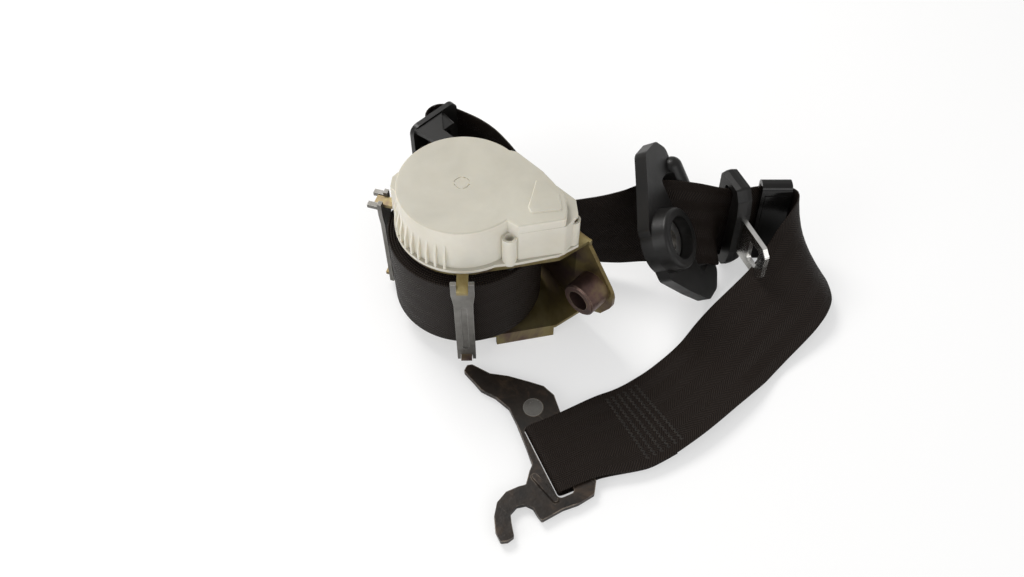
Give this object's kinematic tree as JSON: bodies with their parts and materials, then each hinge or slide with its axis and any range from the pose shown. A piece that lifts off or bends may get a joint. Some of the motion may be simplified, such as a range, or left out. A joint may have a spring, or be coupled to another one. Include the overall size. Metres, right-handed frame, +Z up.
{
  "type": "seat belt",
  "caption": "Car three-point seat belt: inertia reel in a folded frame with lock mechanism, webbing, pillar loop, tongue, keeper and hooked floor anchor.",
  "frame": {"origin": "spool axis at the underside of the bottom bearing cap, the plane the reel stands on", "axes": "+Z up the spool axis, +X toward the mounting ear, +Y toward the back plate"},
  "size_m": [0.2351, 0.2394, 0.0928],
  "materials": {
    "frame_zinc": "yellow passivated zinc, satin",
    "tie_bar_zinc": "dull grey zinc",
    "sleeve_zinc": "yellow passivated zinc",
    "cover_nylon": "warm off-white nylon, slightly translucent",
    "black_plastic": "black moulded plastic, satin",
    "keeper_plastic": "glossy black plastic",
    "webbing": "woven dark brown-black polyester",
    "spool_alloy": "die-cast, matt",
    "steel": "plain machined steel",
    "tongue_steel": "bright plated steel",
    "anchor_steel": "dark brown-black, worn",
    "spring_steel": "blued spring steel",
    "inner_plastic": "natural acetal"
  },
  "bodies": {
    "reel": {"frame": "frame_zinc", "tie_bar_front": "tie_bar_zinc", "tie_bar_left": "tie_bar_zinc", "mount_sleeve": "sleeve_zinc", "bottom_bush": "inner_plastic", "bottom_cap": "black_plastic", "spring_plate": "black_plastic", "top_bush": "inner_plastic", "mainspring": "spring_steel", "mechanism_cover": "cover_nylon", "cover_pins": "black_plastic", "sensor_housing": "inner_plastic", "webbing_guide": "black_plastic", "webbing_rear_run": "webbing", "webbing_mid_run": "webbing", "webbing_front_run": "webbing", "webbing_end_loop": "webbing"},
    "spool_assembly": {"spool": "spool_alloy", "webbing_pin": "steel", "torsion_bar": "steel", "locking_base": "steel", "spring_arbor": "inner_plastic", "webbing_roll": "webbing"},
    "pawl": {"lock_pawl": "steel"},
    "inertia_disc": {"lock_disc": "inner_plastic"},
    "ball": {"sensor_ball": "tongue_steel"},
    "lever": {"sensor_lever": "black_plastic"},
    "pillar_loop": {"pillar_loop_core": "steel", "pillar_loop_moulding": "black_plastic"},
    "loop_bush": {"pillar_loop_bush": "steel"},
    "tongue": {"tongue_plate": "tongue_steel", "tongue_grip": "black_plastic"},
    "keeper": {"webbing_keeper": "keeper_plastic"},
    "anchor": {"anchor_plate": "anchor_steel", "anchor_stud": "tie_bar_zinc"}
  },
  "joints": [
    {"name": "spool_spin", "type": "hinge", "parent": "reel", "child": "spool_assembly", "pos_m": [0, 0, 0.035], "axis": [0, 0, 1], "continuous": true},
    {"name": "inertia_disc_lag", "type": "hinge", "parent": "spool_assembly", "child": "inertia_disc", "pos_m": [0, 0, 0.0715], "axis": [0, 0, -1], "range_deg": [0, 6]},
    {"name": "pawl_swing", "type": "hinge", "parent": "spool_assembly", "child": "pawl", "pos_m": [-0.01352, -0.00946, 0.065], "axis": [0, 0, -1], "range_deg": [0, 4.01]},
    {"name": "sensor_lever_lift", "type": "hinge", "parent": "reel", "child": "lever", "pos_m": [0.0334, 0.027, 0.072], "axis": [0, 0, -1], "range_deg": [0, 4.8]},
    {"name": "sensor_ball_rise", "type": "slide", "parent": "reel", "child": "ball", "axis": [-1, 0, 0], "range_m": [0, 0.00082]},
    {"name": "pillar_loop_run", "type": "slide", "parent": "reel", "child": "pillar_loop", "axis": [0.7193, 0.6947, 0], "range_m": [-0.003, 0.0005]},
    {"name": "loop_bush_spin", "type": "hinge", "parent": "pillar_loop", "child": "loop_bush", "pos_m": [0.06997, 0.07238, 0.04362], "axis": [0.7267, 0.3571, 0.5869], "continuous": true},
    {"name": "tongue_run", "type": "slide", "parent": "reel", "child": "tongue", "axis": [0.7193, 0.6947, 0], "range_m": [-0.001, 0.002]},
    {"name": "keeper_run", "type": "slide", "parent": "reel", "child": "keeper", "axis": [0.7193, 0.6947, 0], "range_m": [-0.003, 0.001]},
    {"name": "anchor_swing", "type": "hinge", "parent": "reel", "child": "anchor", "pos_m": [0.10316, -0.03421, 0.0037], "axis": [-0.9272, 0.3746, 0], "range_deg": [-3, 3]}
  ],
  "couplings": [
    {"joint": "pawl_swing", "follows": "inertia_disc_lag", "ratio": 0.6667},
    {"joint": "sensor_lever_lift", "follows": "sensor_ball_rise", "rad_per_m": 95.24}
  ]
}
